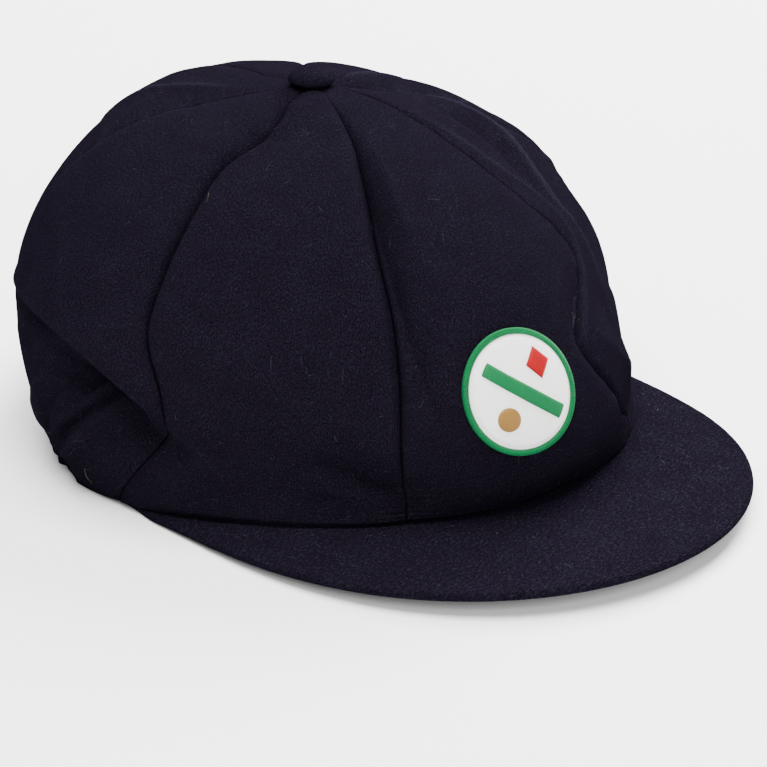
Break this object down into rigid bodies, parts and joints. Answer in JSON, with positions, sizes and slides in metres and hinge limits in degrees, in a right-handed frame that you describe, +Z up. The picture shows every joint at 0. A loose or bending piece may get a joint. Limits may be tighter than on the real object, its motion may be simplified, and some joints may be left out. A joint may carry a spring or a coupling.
{
  "type": "cricket cap",
  "caption": "Baggy eight-panel wool cricket cap with a covered button, a short stiff peak and a round cloth badge, lying on a surface.",
  "frame": {"origin": "on the surface that the cap lies on, under the middle of the whole cap with its peak", "axes": "-Y forward, the way the peak points; +X to the wearer's left; +Z up"},
  "size_m": [0.1866, 0.2456, 0.1067],
  "materials": {
    "crown_wool": "milled navy wool, matt with a short nap",
    "peak_wool": "milled navy wool stretched over a stiff board, matt",
    "badge_white": "white twill embroidery cloth",
    "badge_green": "green satin-stitch embroidery",
    "badge_red": "red satin-stitch embroidery",
    "badge_ochre": "ochre satin-stitch embroidery"
  },
  "bodies": {
    "root": {"crown_front": "crown_wool", "crown_front_right": "crown_wool", "crown_side_right": "crown_wool", "crown_back_right": "crown_wool", "crown_back": "crown_wool", "crown_back_left": "crown_wool", "crown_side_left": "crown_wool", "crown_front_left": "crown_wool", "button": "crown_wool", "peak": "peak_wool", "badge_ground": "badge_white", "badge_border": "badge_green", "badge_band": "badge_green", "badge_lozenge": "badge_red", "badge_roundel": "badge_ochre"}
  },
  "joints": []
}
